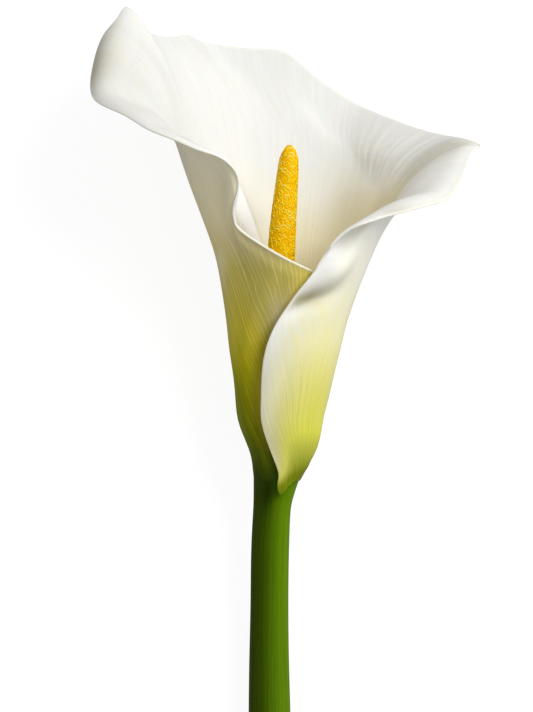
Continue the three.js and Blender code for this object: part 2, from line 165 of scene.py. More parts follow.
def noise_at(nodes, link, place, scale, detail, roughness=0.5):
    """Flat noise at a place on the UV map that is stretched by scale."""
    stretched = nodes.new("ShaderNodeVectorMath")
    stretched.operation = "MULTIPLY"
    fill(link, stretched.inputs, (place, scale))
    noise = nodes.new("ShaderNodeTexNoise")
    noise.noise_dimensions = "2D"
    noise.inputs["Scale"].default_value = 1.0
    noise.inputs["Roughness"].default_value = roughness
    fill(link, (noise.inputs["Vector"], noise.inputs["Detail"]), (stretched.outputs["Vector"], detail))
    return noise.outputs["Fac"]


def new_group(name, inputs, output):
    """A shader group with named inputs and their values, one output, and the UV map at hand."""
    group = bpy.data.node_groups.new(name, "ShaderNodeTree")
    face = group.interface
    for label, value in inputs:
        face.new_socket(label, in_out="INPUT", socket_type="NodeSocketFloat").default_value = value
    face.new_socket(output, in_out="OUTPUT", socket_type="NodeSocketFloat")
    nodes = group.nodes
    given, out = nodes.new("NodeGroupInput").outputs, nodes.new("NodeGroupOutput").inputs
    uv = nodes.new("ShaderNodeUVMap")
    uv.uv_map = "UVMap"
    return group, nodes, group.links.new, given, out[output], uv.outputs["UV"]


def from_group(group, nodes, *values):
    """A group placed in a material with its own values, in the order of its inputs."""
    node = nodes.new("ShaderNodeGroup")
    node.node_tree = group
    for socket, value in zip(node.inputs, values):
        socket.default_value = value
    return node.outputs[0]


def streaks_group():
    """Fine lengthwise streaks of plant tissue on a piece's UV map."""
    group, nodes, link, given, out, uv = new_group(
        "lengthwise_streaks",
        (("Across", 60.0), ("Along", 2.0), ("Detail", 3.0), ("Contrast", 1.0)), "Streak")
    size = nodes.new("ShaderNodeCombineXYZ")
    fill(link, size.inputs, (given["Across"], given["Along"]))
    noise = noise_at(nodes, link, uv, size.outputs["Vector"], given["Detail"], 0.6)
    strong = maths(nodes, link, "MULTIPLY", maths(nodes, link, "SUBTRACT", noise, 0.5),
                   given["Contrast"])
    link(maths(nodes, link, "ADD", strong, 0.5, clamp=True), out)
    return group


def tissue(name, roughness, gloss, glow, radius):
    """A plant tissue's Principled material, with its node tree ready for colours."""
    material = bpy.data.materials.new(name)
    material.use_nodes = True
    shader = material.node_tree.nodes["Principled BSDF"]
    shader.inputs["Roughness"].default_value = roughness
    shader.inputs["Subsurface Weight"].default_value = glow
    shader.inputs["Subsurface Radius"].default_value = radius
    shader.inputs["Subsurface Scale"].default_value = MM
    shader.inputs["Specular IOR Level"].default_value = gloss
    return material, material.node_tree.nodes, material.node_tree.links.new, shader


def linear(red, green, blue):
    """sRGB 0-255 to the shader's linear colour."""
    return tuple((c / 255 / 12.92) if c < 10.3 else ((c / 255 + 0.055) / 1.055) ** 2.4
                 for c in (red, green, blue)) + (1.0,)


def ramp_of(nodes, stops):
    """stops: place 0 to 1 and an sRGB colour."""
    ramp = nodes.new("ShaderNodeValToRGB")
    ramp.color_ramp.interpolation = "LINEAR"
    points = ramp.color_ramp.elements
    while len(points) < len(stops):
        points.new(0.5)
    for point, (place, colour) in zip(points, stops):
        point.position = place
        point.color = linear(*colour)
    return ramp


def attribute(nodes, name):
    node = nodes.new("ShaderNodeAttribute")
    node.attribute_name = name
    return node.outputs["Fac"]


def mixed(nodes, link, how, amount, first, second):
    """Colour mix; amount, first and second are sockets or plain values."""
    mix = nodes.new("ShaderNodeMix")
    mix.data_type = "RGBA"
    mix.blend_type = how
    fill(link, (mix.inputs[0], mix.inputs[6], mix.inputs[7]), (amount, first, second))
    return mix.outputs[2]


def bumped(nodes, link, shader, height, distance, strength=1.0):
    bump = nodes.new("ShaderNodeBump")
    bump.inputs["Distance"].default_value = distance
    bump.inputs["Strength"].default_value = strength
    link(height, bump.inputs["Height"])
    link(bump.outputs["Normal"], shader.inputs["Normal"])


streaks = partial(from_group, streaks_group())
stem_line = spline(STEM_LINE)

# the stem's green across its sides, with painted shade on its left, painted light on its right and a
# painted lighter rim at its far left edge
STEM_GREEN_AND_PAINTED_SIDE_LIGHT = [(0.0, (72, 92, 12)), (0.06, (58, 78, 0)), (0.25, (56, 77, 0)), (0.42, (66, 92, 0)),
              (0.76, (92, 126, 0)), (1.0, (104, 140, 8))]
SHADE_HEIGHT, SHADE_SIDE = -3.0, 0.36   # the painted shadow just below the spathe's toe, partly a deeper green
CUT_FLESH = [(0.0, (206, 214, 158)), (0.72, (190, 203, 132)), (0.9, (130, 156, 52)), (1.0, (92, 116, 14))]


def stem_material():
    material, nodes, link, shader = tissue("stem_skin", 0.4, 0.03, 0.05, (0.6, 1.0, 0.15))
    # the side ramp paints shade on the stem's left and light on its right
    side = ramp_of(nodes, STEM_GREEN_AND_PAINTED_SIDE_LIGHT)
    link(attribute(nodes, "side"), side.inputs["Fac"])
    fine = streaks(nodes, 60.0, 3.0, 3.0, 2.2)
    streaked = mixed(nodes, link, "MULTIPLY", fine, side.outputs["Color"], linear(214, 218, 200))
    # painted shadow under the spathe's toe, multiplied in where the shade attribute is high
    shaded = mixed(nodes, link, "MULTIPLY", attribute(nodes, "shade"), streaked, linear(150, 160, 120))
    link(shaded, shader.inputs["Base Color"])
    bumped(nodes, link, shader, streaks(nodes, 150.0, 8.0, 2.0, 1.0), 0.00008)
    return material


def cut_material():
    material, nodes, link, shader = tissue("stem_cut", 0.35, 0.3, 0.3, (1.0, 1.2, 0.4))
    ring = ramp_of(nodes, CUT_FLESH)
    link(attribute(nodes, "from_middle"), ring.inputs["Fac"])
    place = nodes.new("ShaderNodeTexCoord")
    pores = nodes.new("ShaderNodeTexVoronoi")
    pores.inputs["Scale"].default_value = 1400.0
    link(place.outputs["Object"], pores.inputs["Vector"])
    dark = mixed(nodes, link, "MULTIPLY", 0.35, ring.outputs["Color"], pores.outputs["Distance"])
    link(dark, shader.inputs["Base Color"])
    bumped(nodes, link, shader, pores.outputs["Distance"], 0.00015)
    return material


def ring_points(y, radius_of):
    """Rings square to the stem's axis: y (n,), radius_of(turn) (n, m)."""
    turn = np.linspace(0, 2 * np.pi, STEM_AROUND, endpoint=False)
    line = stem_line(y)
    centre = np.stack([line[:, 0], y, STEM_BOW * np.minimum(y, 0) ** 2], -1)
    slope = 2 * STEM_BOW * np.minimum(y, 0)
    front = np.stack([0 * y, -slope, np.ones_like(y)], -1) / np.sqrt(1 + slope ** 2)[:, None]
    right = np.array([1.0, 0.0, 0.0])
    radius = radius_of(turn)
    return (centre[:, None] + front[:, None] * (radius * np.cos(turn))[..., None]
            + right * (radius * np.sin(turn))[..., None])


def ring_faces(count, rings):
    """Quads between neighbouring rings of count points each."""
    return [(k * count + i, k * count + (i + 1) % count, (k + 1) * count + (i + 1) % count,
             (k + 1) * count + i) for k in range(rings - 1) for i in range(count)]


def build_stem():
    heights = np.concatenate([np.arange(-STEM_LENGTH + 0.35, -0.3, STEM_RING_STEP), [-0.3, 0.0]])
    turn = np.linspace(0, 2 * np.pi, STEM_AROUND, endpoint=False)
    rib = sum(a * np.cos(c * turn + s) for a, c, s in STEM_RIBS) * STEM_RIB_DEPTH
    skin = ring_points(heights, lambda t: stem_line(heights)[:, 1:2] + rib
                       * smooth(-heights / RIB_FADE)[:, None] - SKIN_INSET)
    cut_rim = ring_points(np.array([-STEM_LENGTH]),
                          lambda t: np.full((1, STEM_AROUND), STEM_END_RADIUS - CUT_BEVEL))
    stub = ring_points(np.array([0.02, STUB_TOP]), lambda t: np.full((2, STEM_AROUND), STUB_RADIUS))
    rings = np.concatenate([cut_rim, skin, stub])
    flat = rings.reshape(-1, 3)
    count = STEM_AROUND
    faces = ring_faces(count, len(rings))
    kinds = [0] * len(faces)
    # the cut: rings inwards to the middle, slightly hollow
    hub = cut_rim[0].mean(0)
    axis = stand_up(lay_down(hub) + np.array([0, 1.0, 0])) - hub
    base = len(flat)
    levels = [hub + (cut_rim[0] - hub) * f + axis * CUT_HOLLOW * (1 - f) for f in CUT_RINGS]
    points = np.concatenate([flat] + levels + [[hub + axis * CUT_HOLLOW]])
    rims = [0] + [base + k * count for k in range(len(CUT_RINGS))]
    for k in range(len(CUT_RINGS)):
        for i in range(count):
            j = (i + 1) % count
            faces.append((rims[k] + i, rims[k + 1] + i, rims[k + 1] + j, rims[k] + j))
            kinds.append(1)
    middle = len(points) - 1
    for i in range(count):
        j = (i + 1) % count
        faces.append((rims[-1] + i, middle, rims[-1] + j))
        kinds.append(1)
    top = (len(rings) - 1) * count
    faces.append(tuple(top + i for i in range(count)))
    kinds.append(0)
    from_middle = np.ones(len(points))
    for k, f in enumerate(CUT_RINGS):
        from_middle[rims[k + 1]:rims[k + 1] + count] = f
    from_middle[middle] = 0.0
    around = np.tile(np.abs(np.linspace(-1, 1, count, endpoint=False)), len(rings))
    level = np.repeat(np.concatenate([[-STEM_LENGTH], heights, [0, STUB_TOP]]), count)
    along = level / STEM_LENGTH
    side = np.full(len(points), 0.5)
    # side runs from the stem's left (0) to its right (1); the colour ramp on it paints shade and light
    side[:len(around)] = np.tile(0.5 + 0.5 * np.sin(turn), len(rings))
    # shade: painted shadow under the spathe's toe on the stem's left, just below the collar, partly a
    # deeper green
    shade = np.zeros(len(points))
    shade[:len(level)] = (bell(level - SHADE_HEIGHT, SHADE_RISE)
                          * bell(side[:len(level)] - SHADE_SIDE, SHADE_WIDTH))
    uv = np.zeros((len(points), 2))
    uv[:len(around), 0] = around
    uv[:len(along), 1] = along
    stem = mesh_piece("stem_skin", on_table(points), faces, stem_material(), uv,
                      {"from_middle": from_middle, "side": side, "shade": shade})
    stem.data.materials.append(cut_material())
    stem.data.polygons.foreach_set("material_index", kinds)
    return stem


stem = build_stem()
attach(stem, "root")
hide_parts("stem")

# ---------------------------------------------------------------------------
# Spathe: one white leaf-like sheet rolled into a funnel, right margin over left.
# Soft fleshy tissue about a millimetre thick, thinner at its rim, with fine veins that run
# up from the foot; it grows out of the stem's collar and ends in front in a small free toe.
# ---------------------------------------------------------------------------
THICK = 0.9
RIM_THICK = 0.7
THIN_FROM = 0.7   # share of the lip where it starts to thin
TUBE = [   # height, outline on the left, outline on the right
    (0, -5.5, 7.6), (2.8, -5.7, 9.6), (6.2, -6.2, 11.1), (12.9, -8.7, 13.0), (16.2, -9.8, 13.6),
    (23.0, -10.6, 15.3), (29.7, -11.3, 16.9), (36.4, -12.3, 18.6), (43.1, -13.0, 20.3),
    (49.8, -13.9, 22.5), (56.6, -15.0, 25.1), (63.3, -16.5, 27.9), (70.0, -18.8, 30.7),
    (76.7, -21.3, 33.9), (83.4, -23.8, 37.0), (93.5, -27.2, 41.4), (105.8, -31.4, 46.2)]
TUBE_LEAN = 0.02
FOOT_HEIGHT = 0.3
TOE_DROP = 4.6
TOE_SPAN = 42
AZ_FLAP = 27
FLAP_LIFT = 1.3
LIFT_END = 95
LIFT_FADE = 34
LIFT_FOOT = 26    # degrees that the lifted part is narrower by at the foot
LIFT_RISE = 10
FLAP_REACH = 95
TUCK_START = 300
TUCK_SPAN = 76
TUCK_TURN = 10
TURN_TOP = 60
TURN_FADE = 50
TUCK_IN = 2.6
TUCK_SLOPE = 32
TUCK_TOP = 58
SINK_FOOT = 1
SINK_RISE = 16
HUG_START = 301   # from this azimuth on the lip keeps to the funnel's own surface
HUG_SPAN = 10
SLOPE_STEP = 0.5
FLAP_MARGIN = [   # height, azimuth of the outer flap's free margin
    (-4.4, 5.5), (-2.2, 0.5), (0, 2), (3, -6), (6.5, -16), (11, -22), (20, -24), (28, -22.5), (37, -16.5),
    (45, -6), (52, 7), (58, 15), (65, 26)]
RIM = np.array([   # x, y, z, azimuth where it leaves the tube, roll of the edge, shoulder, reach, turn
    (15.5, 64.0, 22.0, 27, 50, 50, 0.38, 6), (20.0, 68.0, 24.0, 40, 96, 50, 0.42, 5),
    (25.0, 70.0, 25.0, 52, 128, 50, 0.46, 6), (31.2, 72.0, 23.5, 63, 138, 52, 0.48, 9),
    (36.8, 73.5, 21.5, 71, 136, 56, 0.46, 11), (43.0, 75.3, 18.5, 78, 130, 59, 0.42, 12),
    (47.8, 77.1, 15.5, 84, 122, 62, 0.4, 12), (50.4, 80.0, 13.0, 88, 116, 64, 0.38, 12),
    (53.4, 85.7, 9.0, 95, 110, 68, 0.37, 11), (56.3, 91.4, 5.5, 101, 104, 71, 0.36, 10),
    (57.7, 92.6, 4.0, 103, 100, 72, 0.36, 10), (56.0, 94.0, 0.5, 106, 94, 73, 0.36, 10),
    (52.5, 95.8, -8.0, 112, 80, 76, 0.37, 11), (45.9, 98.1, -19.0, 123, 66, 80, 0.38, 14),
    (33.4, 103.9, -34.5, 140, 50, 84, 0.38, 18), (22.0, 110.0, -46.0, 154, 36, 88, 0.38, 20),
    (11.5, 116.8, -51.0, 166, 32, 92, 0.38, 20), (3.5, 123.2, -52.5, 176, 32, 96, 0.38, 20),
    (-6.5, 124.2, -52.5, 189, 32, 96, 0.38, 20), (-15.5, 125.7, -50.5, 200, 38, 96, 0.38, 20),
    (-21.5, 127.2, -46.0, 208, 42, 96, 0.38, 18), (-25.4, 128.6, -42.0, 214, 44, 96, 0.38, 17),
    (-29.3, 127.5, -36.5, 221, 44, 96, 0.37, 14), (-33.6, 127.3, -31.0, 228, 42, 96, 0.36, 12),
    (-37.4, 128.4, -25.0, 234, 42, 95, 0.34, 11), (-40.4, 131.6, -20.5, 239, 48, 94, 0.32, 12),
    (-42.3, 134.0, -18.0, 241, 54, 94, 0.32, 13), (-44.2, 131.2, -16.5, 244, 62, 94, 0.31, 15),
    (-48.0, 125.0, -10.0, 254, 80, 92, 0.3, 19), (-50.5, 115.0, -1.0, 265, 92, 90, 0.3, 20),
    (-50.5, 107.5, 8.0, 276, 98, 88, 0.3, 19), (-48.5, 104.0, 12.5, 280, 100, 87, 0.32, 17),
    (-41.0, 100.0, 19.0, 286, 102, 84, 0.34, 14), (-34.0, 95.5, 25.0, 291, 104, 80, 0.36, 12),
    (-27.0, 92.5, 28.0, 295.5, 105, 77, 0.38, 11), (-20.0, 89.5, 29.0, 300.5, 102, 73, 0.38, 10),
    (-14.0, 87.5, 28.0, 305, 96, 70, 0.38, 8), (-10.0, 84.0, 26.0, 309, 80, 66, 0.38, 7),
    (-9.5, 80.5, 23.5, 312, 60, 62, 0.38, 6), (-11.0, 75.0, 20.3, 315, 40, 60, 0.38, 6),
    (-10.5, 70.5, 18.7, 318, 30, 57, 0.38, 6), (-6.0, 66.5, 19.4, 327, 24, 53, 0.38, 6),
    (2.5, 61.5, 19.5, 346, 18, 50, 0.38, 5), (11.0, 57.5, 15.9, 374, 5, 48, 0.38, 4)], float)
CURL = [   # azimuth, how far the sheet swells to the inside behind its edge, over this reach
    (27, 0, 4), (48, 0.1, 5), (63, 0.3, 8), (84, 0.5, 10), (100, 0.3, 9), (112, 0.1, 8), (150, 0, 8),
    (232, 0, 8), (241, 0.3, 7), (250, 1.6, 10), (262, 2.4, 11), (272, 2.4, 11), (278, 1.8, 10),
    (286, 1.0, 8), (294, 0.6, 5), (312, 0.4, 4), (361, 0.3, 4), (376, 0.2, 3)]
CURL_SCALE = 27 / 4   # makes the highest point of away * (1 - away) ** 2 one
RIM_SPACING_POWER = 0.6
REST_SOFTNESS = 1.0
# relief of the outer flap: azimuth, height, climb to the right, spread round, spread up, depth
DENT = (20, 49.8, 0.1, 18, 3.2, -2.6)
HUMP = (32, 57, 0.2, 12, 4.3, 2.7)
FLARE = (AZ_FLAP, 35, 0, 14, 11, 1.2)
RELIEF_END = 150
RELIEF_FADE = 40
AROUND = 380
TUBE_ROWS = 44
LIP_ROWS = 60
PLEAT_STEP = 4.6        # degrees from one soft pleat of the back and right wall to the next
PLEAT_DEPTH = 0.16
VEIN_LEAN = 1.1         # degrees that the veins near both margins turn back per mm of height
SKIRT_TAPER = 0.22      # half of what the skirt's edge is thinner by
SKIRT = 0.9             # the foot's skin runs down over the stem's collar by this much
LOBE_TIPS = ((-42.3, 134.0, -18.0), (57.7, 92.6, 4.0))
EDGE_STEPS = (0.05, 0.17, 0.4)   # distances from the free edge where the sheet rounds off
COLLAR_SHARE = 0.08     # the skirt ends where the toe has this share of its drop
TAPER_REACH = 1.4       # the taper of the skirt's edge lines falls at the rate that ends it here
FOLD_GLOW = 0.13        # emission of the lit fold on the inside
FOLD = (209, 0.56, 77)  # azimuth of the lit fold, its lean per mm, height for that azimuth
TIP_SPOT = 0.5          # size of the dull spot on each lobe's tip
BAND_LINE = (19.5, 65.0, 22.0), (31.0, 71.5, 20.0)   # the outer flap's skin just below its rolled lip, where a shadow is painted
BAND_SHADE = 2.6        # how wide the painted shadow along that line is
THROAT_DROP = 13        # the inside's colours reach this much higher on the right
UNDER = [(0.0, (42, 60, 0)), (0.06, (54, 72, 0)), (0.12, (82, 94, 0)), (0.2, (116, 122, 0)),
         (0.28, (134, 134, 0)), (0.4, (186, 177, 8)), (0.52, (214, 198, 60)), (0.68, (214, 201, 104)),
         (0.82, (250, 238, 198)), (1.0, (249, 243, 220))]
FLAP = [(0.0, (92, 110, 2)), (0.07, (118, 128, 8)), (0.19, (216, 213, 100)), (0.32, (220, 214, 152)),
        (0.46, (234, 229, 190)), (0.62, (234, 231, 212)), (0.8, (245, 244, 239)), (1.0, (250, 249, 247))]
PALE_VEINS = [(0.0, (158, 148, 4)), (0.3, (204, 190, 34)), (0.5, (246, 230, 96)), (0.72, (250, 240, 166)),
              (1.0, (252, 246, 226))]
INSIDE = [(0.0, (188, 180, 60)), (0.4, (204, 192, 134)), (0.62, (216, 207, 168)), (0.73, (230, 222, 194)),
          (0.87, (237, 234, 224)), (1.0, (236, 235, 232))]

tube_outline = spline(TUBE)
flap_margin = spline(FLAP_MARGIN)
rim_marks = np.concatenate([[0], np.cumsum(
    np.linalg.norm(np.diff(RIM[:, :3], axis=0), axis=1) ** RIM_SPACING_POWER)])
curl_at = spline(CURL)
rim_at = spline(np.column_stack([rim_marks / rim_marks[-1], RIM]))


def funnel_point(turn, y):
    """The funnel's surface; turns past 300 degrees run in under the outer flap."""
    lift_end = LIFT_END - LIFT_FOOT * (1 - smooth(y / LIFT_RISE))
    lift = FLAP_LIFT * smooth((lift_end - turn) / LIFT_FADE)
    under = turn - 360 - flap_margin(np.minimum(y, TUCK_TOP))[..., 0]
    sink = TUCK_IN * smooth(1 + under / TUCK_SLOPE) * smooth((y - SINK_FOOT) / SINK_RISE)
    outline = tube_outline(y)
    left, right = outline[..., 0], outline[..., 1]
    radius = (right - left) / 2 - THICK / 2 + lift - sink
    turn = np.radians(turn)
    return np.stack([(left + right) / 2 + radius * np.sin(turn), y + 0 * turn,
                     -TUBE_LEAN * np.maximum(y, 0) + radius * np.cos(turn)], -1)


def tube_turn(azimuth, y):
    follow = smooth(1 - (azimuth - AZ_FLAP) / FLAP_REACH)
    tuck = smooth((azimuth - TUCK_START) / TUCK_SPAN) * smooth((TURN_TOP - y) / TURN_FADE)
    return azimuth + (flap_margin(y)[..., 0] - AZ_FLAP) * follow + TUCK_TURN * tuck


def toe_share(azimuth):
    """1 where the free toe is at its longest, 0 past its far side."""
    return smooth((AZ_FLAP + TOE_SPAN - azimuth) / TOE_SPAN)


def on_collar(azimuth):
    """1 where the foot closes round the stem, 0 along the free toe."""
    return 1 - smooth(toe_share(azimuth) / COLLAR_SHARE)


def facing(point):
    """Direction away from the funnel's axis, and its azimuth in degrees."""
    middle = tube_outline(point[..., 1]).mean(-1)
    away = np.stack([point[..., 0] - middle, 0 * middle, point[..., 2] + TUBE_LEAN * point[..., 1]], -1)
    away /= np.linalg.norm(away, axis=-1, keepdims=True)
    return away, np.degrees(np.arctan2(away[..., 0], away[..., 2]))


def sheet_point(u, s):
    """u goes along the rim, s from the foot to the shoulder (0 to 1) and on to the rim (1 to 2)."""
    row = rim_at(u)
    rim, azimuth, roll, shoulder = row[..., :3], row[..., 3], np.radians(row[..., 4]), row[..., 5]
    foot = FOOT_HEIGHT - TOE_DROP * toe_share(azimuth)
    y = foot + (shoulder - foot) * np.minimum(s, 1)
    tube = funnel_point(tube_turn(azimuth, y), y)
    leaves = tube_turn(azimuth, shoulder)
    start = funnel_point(leaves, shoulder)
    below = shoulder - SLOPE_STEP
    rising = start - funnel_point(tube_turn(azimuth, below), below)
    rising /= np.linalg.norm(rising, axis=-1, keepdims=True)
    away, turn = facing(rim)
    out = away * np.sin(roll)[..., None]
    out[..., 1] = np.cos(roll)
    length = np.linalg.norm(rim - start, axis=-1, keepdims=True)
    near, far = start + rising * length * row[..., 6:7], rim - out * row[..., 7:8]
    t = np.clip(s - 1, 0, 1)[..., None]
    lip = (1 - t) ** 3 * start + 3 * (1 - t) ** 2 * t * near + 3 * (1 - t) * t ** 2 * far + t ** 3 * rim
    ends = turn + 360 * (azimuth > 180)
    q = t[..., 0]
    along = funnel_point(leaves + (ends - leaves) * q ** 2, shoulder + (rim[..., 1] - shoulder) * q)
    along = along + (rim - funnel_point(ends, rim[..., 1])) * t ** 2
    lip = lip + (along - lip) * smooth((azimuth - HUG_START) / HUG_SPAN)[..., None]
    point = np.where((s > 1)[..., None], lip, tube)
    away, turn = facing(point)
    y = point[..., 1]
    relief = 0
    for (where, height, climb, wide, rise, depth), at in ((DENT, turn), (HUMP, turn), (FLARE, azimuth)):
        relief = relief + (depth * bell(at - where, wide)
                           * bell(y - height - climb * (at - where), rise))
    return point + away * (relief * smooth((RELIEF_END - azimuth) / RELIEF_FADE))[..., None]


def soft_rest(point, half):
    """The table stops the sheet's middle face softly at half its thickness."""
    q = lay_down(point)
    depth = (q[..., 2] - half) / REST_SOFTNESS
    q[..., 2] = half + REST_SOFTNESS * np.where(depth > 30, depth, np.log1p(np.exp(np.minimum(depth, 30))))
    return stand_up(q)


def sheet_normals(middle):
    normal = np.cross(np.gradient(middle, axis=0), np.gradient(middle, axis=1))
    return normal / np.linalg.norm(normal, axis=-1, keepdims=True)


def curled(middle, azimuth):
    """The sheet swells to the inside a little way behind its edge, so the edge turns outwards."""
    bend = curl_at(azimuth[:, -1])
    away = np.minimum(np.linalg.norm(middle - middle[:, -1:], axis=-1) / bend[:, 1:2], 1)
    swell = bend[:, 0:1] * CURL_SCALE * away * (1 - away) ** 2
    return middle - sheet_normals(middle) * swell[..., None]


def pleated(middle, azimuth, s):
    """Soft lengthwise pleats in the lip of the back and right wall."""
    wave = azimuth / PLEAT_STEP + 0.35 * np.sin(azimuth / 5.3) + 0.2 * np.sin(azimuth / 2.1 + 1)
    height = 1 - np.abs(np.sin(np.pi * wave)) ** 0.8 * 2
    where = bell(azimuth - 128, 26) * smooth((s - 1.05) / 0.3) * (1 - 0.6 * smooth((s - 1.85) / 0.15))
    return middle - sheet_normals(middle) * (PLEAT_DEPTH * height * where)[..., None]


def add_edge_lines(grid, axis, end, steps):
    """Extra grid lines at real distances from one edge, so the edge can be rounded."""
    grid = np.moveaxis(grid, axis, 0)
    if end:
        grid = grid[::-1]
    edge, inner = grid[0], grid[1]
    gap = np.linalg.norm((inner - edge)[..., :3], axis=-1, keepdims=True)
    lines = [edge + (inner - edge) * np.minimum(d / gap, 0.25 + 0.6 * d / max(steps)) for d in steps]
    grid = np.concatenate([edge[None], np.stack(lines), grid[1:]])
    if end:
        grid = grid[::-1]
    return np.moveaxis(grid, 0, axis)


def build_spathe():
    u = np.linspace(0, 1, AROUND + 1)
    s = np.concatenate([np.linspace(0, 1, TUBE_ROWS + 1), 1 + np.linspace(0, 1, LIP_ROWS + 1)[1:]])
    uu, ss = np.meshgrid(u, s, indexing="ij")
    azimuth = rim_at(uu)[..., 3]
    middle = soft_rest(pleated(curled(sheet_point(uu, ss), azimuth), azimuth, ss), THICK / 2)
    middle[:, 0, 1] -= SKIRT * on_collar(azimuth[:, 0])
    grid = np.concatenate([middle, uu[..., None], ss[..., None]], -1)
    for axis, end in ((0, 0), (0, 1), (1, 0), (1, 1)):
        grid = add_edge_lines(grid, axis, end, EDGE_STEPS)
    middle, uu, ss = grid[..., :3], grid[..., 3], grid[..., 4]
    normal = sheet_normals(middle)
    half = (THICK + (RIM_THICK - THICK) * smooth((ss - 1 - THIN_FROM) / (1 - THIN_FROM))) / 2
    steps = np.array((0.0,) + EDGE_STEPS)
    thin = np.sqrt(1 - np.clip(1 - steps / EDGE_STEPS[-1], 0, 1) ** 2)
    closed = on_collar(rim_at(uu[:, 0])[..., 3])
    for k, step in enumerate(steps):
        half[:, k] -= SKIRT_TAPER * (1 - step / TAPER_REACH) * closed
    for k, f in enumerate(thin):
        half[k] *= f
        half[-1 - k] *= f
        half[:, -1 - k] *= f
    outer = lay_down(middle + normal * half[..., None])
    outer[..., 2] = np.maximum(outer[..., 2], 0.0)
    inner = lay_down(middle - normal * half[..., None])
    rows, cols = middle.shape[:2]
    number = rows * cols
    outer_id = np.arange(number).reshape(rows, cols)
    inner_id = outer_id + number
    for line in (np.s_[0, :], np.s_[-1, :], np.s_[:, -1]):
        inner_id[line] = outer_id[line]
    faces = []
    for ids, flip in ((outer_id, False), (inner_id, True)):
        a, b, c, d = ids[:-1, :-1], ids[1:, :-1], ids[1:, 1:], ids[:-1, 1:]
        quads = np.stack([a, b, c, d] if not flip else [a, d, c, b], -1).reshape(-1, 4)
        faces += quads.tolist()
    a, b = outer_id[:-1, 0], outer_id[1:, 0]
    c, d = inner_id[1:, 0], inner_id[:-1, 0]
    faces += [list(dict.fromkeys(quad)) for quad in np.stack([b, a, d, c], -1).tolist()]
    points = np.concatenate([outer.reshape(-1, 3), inner.reshape(-1, 3)])
    used = np.array(sorted({i for f in faces for i in f}))
    renumber = np.full(len(points), -1)
    renumber[used] = np.arange(len(used))
    faces = [tuple(int(renumber[i]) for i in f) for f in faces]
    inside = np.concatenate([np.zeros(number), np.ones(number)])
    uv = np.stack([np.tile(uu.ravel(), 2), np.tile(ss.ravel(), 2)], -1)
    azimuth = rim_at(uu)[..., 3]
    near_margins = smooth((azimuth - 215) / 50) + 0.6 * smooth((75 - azimuth) / 50)
    lean = VEIN_LEAN * middle[..., 1] * near_margins
    uv[:, 0] = np.tile((azimuth + lean).ravel(), 2) / 360
    masks = spathe_masks(middle, azimuth, ss, inside)
    points = (points + PLACE) * MM
    return mesh_piece("spathe_sheet", points[used], faces, spathe_material(), uv[used],
                      {key: values[used] for key, values in masks.items()})


